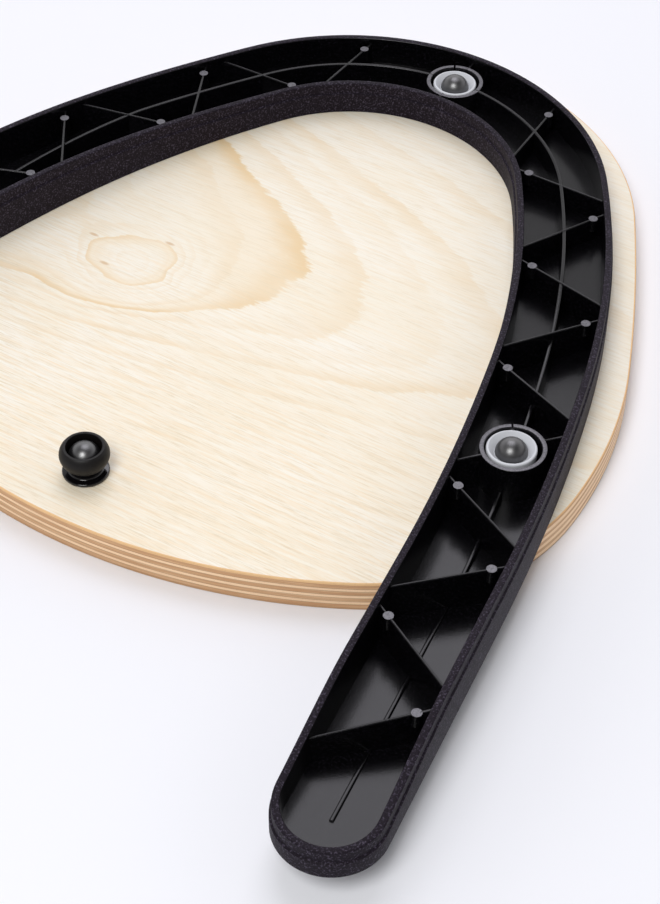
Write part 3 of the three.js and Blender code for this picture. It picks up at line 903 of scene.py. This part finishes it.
def profileObject(points):
    # Each point is (offset to the outside, height, follows the path's height). The sweep turns a
    # profile's Y downwards.
    count = len(points)
    edges = [(i, (i + 1) % count) for i in range(count)]
    mesh = meshFrom("profile", [(offset, -height, 0.0) for offset, height, _ in points], (), edges)
    markPoints(mesh, "follows", [float(follows) for _, _, follows in points])
    markPoints(mesh, "offset", [float(offset) for offset, _, _ in points])
    return placed("profile", mesh)


sweepTree = makeSweepTree()


def swept(name, paths, profile, finish, closed=False):
    # Each path is a list of (point, height)
    points, lifts, edges = [], [], []
    for path in paths:
        first = len(points)
        points += [(point.x, point.y, 0.0) for point, _ in path]
        lifts += [height * mm for _, height in path]
        edges += [(first + i, first + i + 1) for i in range(len(path) - 1)]
        if closed:
            edges.append((first + len(path) - 1, first))
    mesh = meshFrom(name, points, (), edges)
    markPoints(mesh, "lift", lifts)
    piece = placed(name, mesh)
    drawn = profileObject(profile)
    runTree(piece, sweepTree, {"Profile": drawn, "Cap ends": not closed, "Finish": finish})
    bpy.data.objects.remove(drawn)
    cleaned(piece.data)
    return piece


# Rocker rail: its centre line and the height of its rim
rail = {
    "inset": 13.8,  # centre line inside the deck's widest point, where the leg ends
    "setback": 39.1,  # the same place behind the deck's front
    "splay": 8.1,  # degrees that the leg points outward
    "legLength": 109.0,
    "sideBend": (940.0, 105.6),  # radius, and the heading at its end
    "rearBend": (475.0, 122.0),
    "width": 42.0,
    "legHeight": 22.6,
    "crownHeight": 16.0,
    "noseHeight": 13.0,
    "noseRise": 62.0,
    "socketSetback": 76.0,
    "rearFall": (8.0, 196.0),  # behind the socket, where the rim goes down to the crown
    "step": 2.0,
}
legStart = Vector((deckHigh.x / mm - rail["inset"], boardFront + rail["setback"]))
railArcs = closedOnCentreLine(arcChain(legStart, 90 + rail["splay"], [rail["sideBend"], rail["rearBend"]]))
socketAlong = rail["legLength"] + rail["socketSetback"]
crownAlong = rail["legLength"] + sum(arc["radius"] * (arc["to"] - arc["from"]) for arc in railArcs)
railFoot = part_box("under_frame")[0].z / mm


def smoothStep(low, high, value):
    share = min(max((value - low) / (high - low), 0.0), 1.0)
    return share * share * (3 - 2 * share)


def stationAt(along):
    left = along - rail["legLength"]
    heading = math.radians(90 + rail["splay"])
    point = legStart + Vector((math.cos(heading), math.sin(heading))) * left
    for arc in railArcs:
        if left <= 0:
            break
        turn = min(left / arc["radius"], arc["to"] - arc["from"])
        heading = arc["from"] + turn
        point = arcPoint(arc, heading)
        left -= arc["radius"] * (arc["to"] - arc["from"])
    return point, Vector((math.sin(heading), -math.cos(heading)))


def beside(along, offset):
    point, outward = stationAt(along)
    return point + outward * offset


def rimHeight(along):
    drop = rail["legHeight"] - rail["crownHeight"]
    rear = rail["legHeight"] - drop * smoothStep(*rail["rearFall"], along - socketAlong)
    rise = rail["legHeight"] - rail["noseHeight"]
    front = rail["noseHeight"] + rise * smoothStep(-rail["width"] / 2, rail["noseRise"], along)
    return deckThickness + min(rear, front)


def mirroredPath(path):
    return [(Vector((-point.x, point.y)), height) for point, height in path]


def railSide(offset):
    # From the tip of the right leg's round nose along the side at that offset to the crown
    reach = abs(offset)
    noseSteps = math.ceil(math.pi / 2 * reach / rail["step"])
    point, outward = stationAt(0.0)
    backward = Vector((-outward.y, outward.x))
    path = []
    for i in range(noseSteps):
        turn = math.pi / 2 * (1 - i / noseSteps)
        place = point + outward * offset * math.cos(turn) - backward * reach * math.sin(turn)
        path.append((place, rimHeight(-reach * math.sin(turn))))
    steps = math.ceil(crownAlong / rail["step"])
    alongs = [crownAlong * i / steps for i in range(steps + 1)]
    return path + [(beside(along, offset), rimHeight(along)) for along in alongs]


def railLoop(offset):
    # All round the horseshoe, anticlockwise seen from above
    outer = railSide(offset)
    inner = railSide(-offset)
    return outer + mirroredPath(outer[-2::-1]) + mirroredPath(inner[1:]) + inner[-2:0:-1]


# Rail wall: slim rim, a step down to a ledge, and a lower wall that stands proud
railWall = {
    "rimWidth": 3.0,
    "rimRound": 0.6,
    "skirt": 0.8,
    "ledgeDrop": 5.6,
    "ledgeSlope": 0.3,
    "ledgeRound": 0.3,
    "stepRound": 0.15,
    "draft": 0.5,
    "webThickness": 2.3,
}
webTop = railFoot + railWall["webThickness"]
pocketHalf = rail["width"] / 2 - railWall["rimWidth"]


def makeWall():
    v = railWall
    inside = -v["rimWidth"]
    upper = [
        ((v["skirt"], -v["ledgeDrop"]), v["ledgeRound"]),
        ((0.0, v["ledgeSlope"] - v["ledgeDrop"]), v["stepRound"]),
        ((0.0, 0.0), v["rimRound"]),
        ((inside, 0.0), v["rimRound"]),
    ]
    frameOfUpper = [(v["skirt"], -rail["noseHeight"])] + [corner for corner, _ in upper]
    frameOfUpper.append((inside - v["draft"], -rail["noseHeight"]))
    radii = [0.0] + [radius for _, radius in upper] + [0.0]
    points = rounded(frameOfUpper, radii, steps=4)[1:-1]
    profile = [(v["skirt"], railFoot, False)]
    profile += [(point.x, point.y, True) for point in points]
    profile += [(inside - v["draft"], webTop, False), (inside - v["draft"], railFoot, False)]
    wall = swept("rockerRail", [railLoop(rail["width"] / 2)], profile, grainedPlastic, closed=True)
    wall.data.materials.append(smoothPlastic)
    offsets = wall.data.attributes["offset"].data
    for face in wall.data.polygons:
        if all(offsets[corner].value < inside + v["rimRound"] / 2 for corner in face.vertices):
            face.material_index = 1  # the side that faces the channel
    return wall


def makeWeb():
    # The floor of the channel, under the ribs. It ends inside the wall.
    loop = railLoop(rail["width"] / 2 - railWall["rimWidth"] / 2)
    count = len(loop)
    points = [(point.x, point.y, height) for height in (railFoot, webTop) for point, _ in loop]
    faces = [(i, (i + 1) % count, count + (i + 1) % count, count + i) for i in range(count)]
    for level in (0, count):
        for i in range(count // 2):
            here, onward = level + i, level + i + 1
            opposite, opposed = level + (-i) % count, level + (-i - 1) % count
            corners = [here, onward, opposed, opposite]
            faces.append(tuple(dict.fromkeys(corners)))
    return placed("web", cleaned(meshFrom("web", points, faces, (), (smoothPlastic,))))


# Ribs: slanting ones that zigzag along the channel, a cross rib at the rear socket and a centre rib that
# is low at the front and reaches the others toward the rear
ribs = {
    "drop": 2.8,  # their tops below the rim
    "thickness": 1.2,
    "draft": 0.35,  # how much wider each side is at the foot
    "topRound": 0.5,
    "run": 28.5,
    "gap": 8.7,
    "shift": -1.3,
    "margin": 6.0,
    "root": 1.2,
    "spineThickness": 1.7,
    "spineHeights": (3.5, 15.8),
    "spineRise": (-90.0, 120.0),
}


def ribProfile(thickness):
    half = thickness / 2
    foot = webTop - ribs["root"]
    corners = [(half, -ribs["root"]), (half, 0.0), (-half, 0.0), (-half, -ribs["root"])]
    top = rounded(corners, [0.0, ribs["topRound"], ribs["topRound"], 0.0])[1:-1]
    wide = half + ribs["draft"]
    return [(wide, foot, False)] + [(point.x, point.y, True) for point in top] + [(-wide, foot, False)]


def ribEnd(along, offset):
    return beside(along, offset), rimHeight(along) - ribs["drop"]


def slantingRibs():
    v = ribs
    pitch = v["run"] + v["gap"]
    first = socketAlong + v["shift"]
    lowest = math.ceil((v["margin"] + v["run"] / 2 - first) / pitch)
    room = crownAlong - socket["ring"] / 2 - v["margin"] - v["run"] / 2
    highest = math.floor((room - first) / pitch)
    reach = pocketHalf + v["root"]
    made = {}
    for number in range(lowest, highest + 1):
        middle = first + number * pitch
        slant = 1 if number % 2 == 0 else -1
        front = ribEnd(middle - v["run"] / 2, -slant * reach)
        made[number] = [front, ribEnd(middle + v["run"] / 2, slant * reach)]
    return made


def bothLegs(paths):
    return paths + [mirroredPath(path) for path in paths]


def makeSlantingRibs():
    reach = pocketHalf + ribs["root"]
    across = [ribEnd(crownAlong, reach), ribEnd(crownAlong, -reach)]
    paths = bothLegs(list(slantingRibs().values())) + [across]
    return swept("slantingRibs", paths, ribProfile(ribs["thickness"]), smoothPlastic)


def spineHeight(along):
    low, high = ribs["spineHeights"]
    free = low + (high - low) * smoothStep(*ribs["spineRise"], along - socketAlong)
    return min(deckThickness + free, rimHeight(along) - ribs["drop"])


def makeCentreRib():
    steps = math.ceil(crownAlong / rail["step"])
    alongs = [crownAlong * i / steps for i in range(steps + 1)]
    right = [(beside(along, 0.0), spineHeight(along)) for along in alongs]
    path = right + mirroredPath(right[-2::-1])
    return swept("centreRib", [path], ribProfile(ribs["spineThickness"]), smoothPlastic)


# Round ejector marks on top of the slanting ribs, one near the rear end of each
ejectorMark = {"diameter": 4.1, "proud": 0.1, "fromWall": 7.4, "length": 6.0, "taper": 0.12, "around": 24}


def makeMarksTree():
    kinds = ("Top radius", "Foot radius", "Length")
    sockets = [(label, "NodeSocketFloat") for label in kinds]
    sockets += [("Around", "NodeSocketInt"), ("Finish", "NodeSocketMaterial")]
    tree, given = newTree("ejectorMarks", sockets)
    inputs = {
        "Vertices": given["Around"],
        "Radius Top": given["Top radius"],
        "Radius Bottom": given["Foot radius"],
        "Depth": given["Length"],
    }
    mark = addNode(tree, "GeometryNodeMeshCone", inputs)
    points = addNode(tree, "GeometryNodeMeshToPoints", {"Mesh": given["Geometry"]})
    copies = addNode(tree, "GeometryNodeInstanceOnPoints", {"Points": points, "Instance": mark})
    return endTree(tree, copies, given["Finish"])


def makeEjectorMarks():
    v = ejectorMark
    paths = []
    for number, (front, rear) in slantingRibs().items():
        if number == 0:
            continue  # this rib crosses the socket and has none
        share = v["fromWall"] / (front[0] - rear[0]).length
        place = rear[0].lerp(front[0], share)
        top = rear[1] + (front[1] - rear[1]) * share + v["proud"]
        paths.append([(place, top - v["length"])])
    points = [(point.x, point.y, height) for path in bothLegs(paths) for point, height in path]
    piece = placed("ejectorMarks", meshFrom("ejectorMarks", points))
    radius = v["diameter"] / 2
    values = {
        "Top radius": radius * mm,
        "Foot radius": (radius + v["taper"]) * mm,
        "Length": v["length"] * mm,
        "Around": v["around"],
        "Finish": scuffedHighlitPlastic,
    }
    runTree(piece, makeMarksTree(), values)
    cleaned(piece.data)
    return piece


# Sockets: a ring of the rail round each bush, and the post that the bush stands on
socket = {
    "ring": 27.4,
    "bore": 23.4,
    "ringForward": 0.6,  # the rings of the legs stand this much nearer to the nose than their screws
    "ringOutward": 0.75,  # and this much outward of them
    "ringRound": 0.35,
    "slit": 0.9,
    "slitDepth": 3.0,
    "slitAngle": 120.0,  # from the board's X
    "slitOverrun": 1.0,
    "post": 15.8,
    "postBore": 10.0,
    "seatGap": 0.3,
    "overrun": 2.0,
}


def ringTop(side):
    along = crownAlong if side == "rear" else socketAlong
    return rimHeight(along) - ribs["drop"]


def ringAxis(side):
    if side == "rear":
        return beside(crownAlong, 0.0)
    place = beside(socketAlong - socket["ringForward"], socket["ringOutward"])
    return place if side == "right" else Vector((-place.x, place.y))


def socketRing(side):
    v = socket
    outer, inner, top = v["ring"] / 2, v["bore"] / 2, ringTop(side)
    foot = webTop - ribs["root"]
    corners = [(inner, foot), (outer, foot), (outer, top), (inner, top)]
    profile = rounded(corners, [0.0, 0.0, v["ringRound"], v["ringRound"]])
    return turned("ring", profile, ringAxis(side), scuffedHighlitPlastic)


def socketBore(side):
    inner = socket["bore"] / 2
    top = ringTop(side) + socket["overrun"]
    profile = [(0.0, webTop), (inner, webTop), (inner, top), (0.0, top)]
    return turned("bore", profile, ringAxis(side), smoothPlastic)


def socketPost(side):
    v = socket
    axis, foot, _ = columnOf(f"frame_bush_{side}")
    outer, inner = v["post"] / 2, v["postBore"] / 2
    low, high = webTop - ribs["root"], foot - v["seatGap"]
    profile = [(inner, low), (outer, low), (outer, high), (inner, high)]
    return turned("post", profile, axis, smoothPlastic, hiddenAround)


def postBore(side):
    axis, foot, _ = columnOf(f"frame_bush_{side}")
    inner = socket["postBore"] / 2
    low = railFoot - socket["overrun"]
    profile = [(0.0, low), (inner, low), (inner, foot), (0.0, foot)]
    return turned("postBore", profile, axis, smoothPlastic, hiddenAround)


def socketSlit(side):
    v = socket
    axis = ringAxis(side)
    angle = math.radians(v["slitAngle"])
    along = Vector((math.cos(angle), math.sin(angle)))
    across = Vector((-along.y, along.x)) * v["slit"] / 2
    reaches = [v["bore"] / 2 - v["slitOverrun"], v["ring"] / 2 + v["slitOverrun"]]
    ends = [Vector(axis) + along * reach for reach in reaches]
    plan = [ends[0] - across, ends[1] - across, ends[1] + across, ends[0] + across]
    low, high = ringTop(side) - v["slitDepth"], ringTop(side) + v["overrun"]
    points = [(corner.x, corner.y, height) for height in (low, high) for corner in plan]
    faces = [(3, 2, 1, 0), (4, 5, 6, 7), (0, 1, 5, 4), (1, 2, 6, 5), (2, 3, 7, 6), (3, 0, 4, 7)]
    return placed("slit", meshFrom("slit", points, faces, (), (smoothPlastic,)))


rockerRail = makeWall()
joinedWith(rockerRail, "UNION", makeWeb(), makeSlantingRibs(), makeCentreRib(), makeEjectorMarks())
joinedWith(rockerRail, "UNION", *[socketRing(side) for side in fixingSides])
joinedWith(rockerRail, "DIFFERENCE", *[socketBore(side) for side in fixingSides])
joinedWith(rockerRail, "DIFFERENCE", *[socketSlit(side) for side in fixingSides])
joinedWith(rockerRail, "UNION", *[socketPost(side) for side in fixingSides])
joinedWith(rockerRail, "DIFFERENCE", *[postBore(side) for side in fixingSides])
cleaned(rockerRail.data)
smooth(rockerRail.data)
dressed(rockerRail, "moulded_plastic", "under_frame")
tell("rail made")


# Bush: a dished grey disc with a round edge that the screw head sits in
bushShape = {
    "round": 0.9,
    "footRound": 0.6,
    "lip": 0.1,
    "lipRound": 0.18,
    "dish": 3.2,  # depth
    "seat": 7.05,  # radius of its floor
    "seatRound": 0.3,
    "bore": 3.3,  # radius
}


def makeBush(side):
    v = bushShape
    node = f"frame_bush_{side}"
    axis, foot, top = columnOf(node)
    low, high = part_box(node)
    outer = (high.y - low.y) / 2 / mm
    profile = [(v["bore"], foot), (outer, foot), (outer, top), (outer - v["round"] - v["lip"], top)]
    profile += [(v["seat"], top - v["dish"]), (v["bore"], top - v["dish"])]
    radii = [0.0, v["footRound"], v["round"], v["lipRound"], v["seatRound"], 0.0]
    bush = turned(f"bush.{side}", rounded(profile, radii, steps=6), axis, nylon, fineAround)
    return dressed(bush, "grey_nylon", node)


# Button-head screw, nearly a half ball
screwShape = {
    "head": 6.75,  # radius
    "dome": 5.8,  # height
    "skirt": 0.5,
    "skirtEdge": 0.25,
    "shank": 3.0,  # radius
    "tip": 0.6,
    "domeSteps": 28,
}


def makeScrew(name, node):
    v = screwShape
    axis, tip, top = columnOf(node)
    dome = v["dome"]
    seat = top - dome - v["skirt"]
    ball = (v["head"] ** 2 + dome**2) / (2 * dome)
    spread = math.asin(min(v["head"] / ball, 1.0))
    profile = [(0.0, tip), (v["shank"] - v["tip"], tip), (v["shank"], tip + v["tip"]), (v["shank"], seat)]
    profile += [(v["head"] - v["skirtEdge"], seat), (v["head"], seat + v["skirtEdge"])]
    for i in range(v["domeSteps"] + 1):
        angle = spread * (1 - i / v["domeSteps"])
        profile.append((ball * math.sin(angle), top - ball * (1 - math.cos(angle))))
    screw = turned(name, profile, axis, headFinish, fineAround)
    return dressed(screw, "black_head", node)


for side in fixingSides:
    makeBush(side)
    makeScrew(f"screw.{side}", f"frame_screw_{side}")
makeScrew("screw.stud", "stud_screw")
tell("bushes and screws made")


# Front stud: a polished base with a neck, and a rubber ring with a bulging side, a round rim and a recess
studBase = {"flange": 1.3, "edgeRound": 0.45, "neck": 6.7, "neckRound": 0.8, "bore": 3.3}


def makeStudBase():
    v = studBase
    axis, foot, top = columnOf("stud_base")
    low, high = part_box("stud_base")
    outer = (high.y - low.y) / 2 / mm
    flangeTop = foot + v["flange"]
    profile = [(v["bore"], foot), (outer, foot), (outer, flangeTop), (v["neck"], flangeTop), (v["neck"], top)]
    profile.append((v["bore"], top))
    radii = [0.0, v["edgeRound"], v["edgeRound"], v["neckRound"], 0.0, 0.0]
    base = turned("studBase", rounded(profile, radii, steps=5), axis, glossFinish, fineAround)
    return dressed(base, "black_gloss", "stud_base")


rubberRing = {
    "foot": 8.0,  # radii
    "bulge": 2.15,
    "rim": 8.45,
    "recess": 7.45,
    "recessFloor": 7.15,
    "bore": 3.3,
    "floorDrop": 5.8,
    "rimRound": 0.24,
    "floorRound": 0.8,
    "fullness": 0.75,
    "steps": 30,
}


def makeRubberRing():
    v = rubberRing
    axis, foot, top = columnOf("stud_grommet")
    floor = top - v["floorDrop"]
    profile, radii = [(v["bore"], foot)], [0.0]
    for i in range(v["steps"] + 1):
        share = i / v["steps"]
        straight = v["foot"] + (v["rim"] - v["foot"]) * share
        bulge = v["bulge"] * math.sin(math.pi * share) ** v["fullness"]
        profile.append((straight + bulge, foot + (top - foot) * share))
        radii.append(0.0)
    profile += [(v["recess"], top), (v["recessFloor"], floor), (v["bore"], floor)]
    radii += [v["rimRound"], v["floorRound"], 0.0]
    ring = turned("rubberRing", rounded(profile, radii, steps=5), axis, rubber, fineAround)
    return dressed(ring, "rubber", "stud_grommet")


makeStudBase()
makeRubberRing()
for node in insertNodes + [f"frame_sleeve_{side}" for side in fixingSides]:
    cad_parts[node].data.materials.clear()
    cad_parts[node].data.materials.append(steel)
tell("stud made")


# Floor and light: a white table, a wide dim light behind the board whose mirror image lies on what faces
# up, a brighter one on the camera's side, and a surround that is brightest near the table and behind it
table = {"colour": "#f2f3f7", "roughness": 0.9, "specular": 0.1, "reach": 6.0}  # reach in metres


def makeTable():
    material = newMaterial("whitePaperSweep")[0]
    inputs = {
        "Base Color": linear(table["colour"]),
        "Roughness": table["roughness"],
        "Specular IOR Level": table["specular"],
    }
    finished(material, inputs)
    reach = table["reach"] / mm
    corners = [(-reach, -reach, 0.0), (reach, -reach, 0.0), (reach, reach, 0.0), (-reach, reach, 0.0)]
    floor = placed("table", meshFrom("table", corners, [(0, 1, 2, 3)], (), (material,)))


def toward(elevation, azimuth):
    # A direction as the camera sees it: azimuth 0 is straight ahead, 90 to the right, 180 the camera's side
    rise = math.radians(elevation)
    turn = math.radians(azimuth - camera["boardTurn"])
    return Vector((math.cos(rise) * math.sin(turn), math.cos(rise) * math.cos(turn), math.sin(rise)))


lamps = {
    "back": {
        "elevation": 61.0,  # degrees
        "azimuth": 2.0,
        "distance": 1.9,  # metres
        "diameter": 1.3,
        "radiance": 2.9,
        "colour": "#f8f6ff",
    },
    "front": {
        "elevation": 57.0,
        "azimuth": 203.0,
        "distance": 3.0,
        "diameter": 1.4,
        "radiance": 10.4,
        "colour": "#ffffff",
    },
}
surround = {
    "colour": "#fdfcff",
    "nearTable": 0.7,  # strengths
    "overhead": 0.12,
    "from": 30.0,  # degrees of elevation over which the one goes over into the other
    "to": 60.0,
    "frontDrop": 0.75,  # how much darker it is on the camera's side, and brighter on the far one
    "frontAzimuth": 180.0,
}


def addLamp(name):
    v = lamps[name]
    data = bpy.data.lights.new(name, "AREA")
    data.shape = "DISK"
    data.size = v["diameter"]
    data.energy = v["radiance"] * (math.pi * v["diameter"] / 2) ** 2
    data.color = linear(v["colour"])[:3]
    lamp = bpy.data.objects.new(name, data)
    scene.collection.objects.link(lamp)
    direction = toward(v["elevation"], v["azimuth"])
    lamp.location = Vector(camera["aim"]) * mm + direction * v["distance"]
    lamp.rotation_euler = (-direction).to_track_quat("-Z", "Y").to_euler()


def addSurround():
    v = surround
    world = bpy.data.worlds.new("surround")
    scene.world = world
    world.use_nodes = True
    tree = world.node_tree
    tree.nodes.clear()
    direction = addNode(tree, "ShaderNodeTexCoord", output="Generated")
    height = addNode(tree, "ShaderNodeSeparateXYZ", [direction], "Z")
    limits = [math.sin(math.radians(v[name])) for name in ("from", "to")]
    inputs = [height, *limits, v["nearTable"], v["overhead"]]
    strength = addNode(tree, "ShaderNodeMapRange", inputs, **soft)
    axes = [direction, toward(0.0, v["frontAzimuth"])]
    front = addNode(tree, "ShaderNodeVectorMath", axes, "Value", operation="DOT_PRODUCT")
    drop = addNode(tree, "ShaderNodeMath", [front, -v["frontDrop"], 1.0], operation="MULTIPLY_ADD")
    strength = addNode(tree, "ShaderNodeMath", [strength, drop], operation="MULTIPLY")
    light = addNode(tree, "ShaderNodeBackground", {"Color": linear(v["colour"]), "Strength": strength})
    addNode(tree, "ShaderNodeOutputWorld", {"Surface": light})


makeTable()
for name in lamps:
    addLamp(name)
addSurround()
scene.view_settings.view_transform = "Standard"
tell("table and light set")
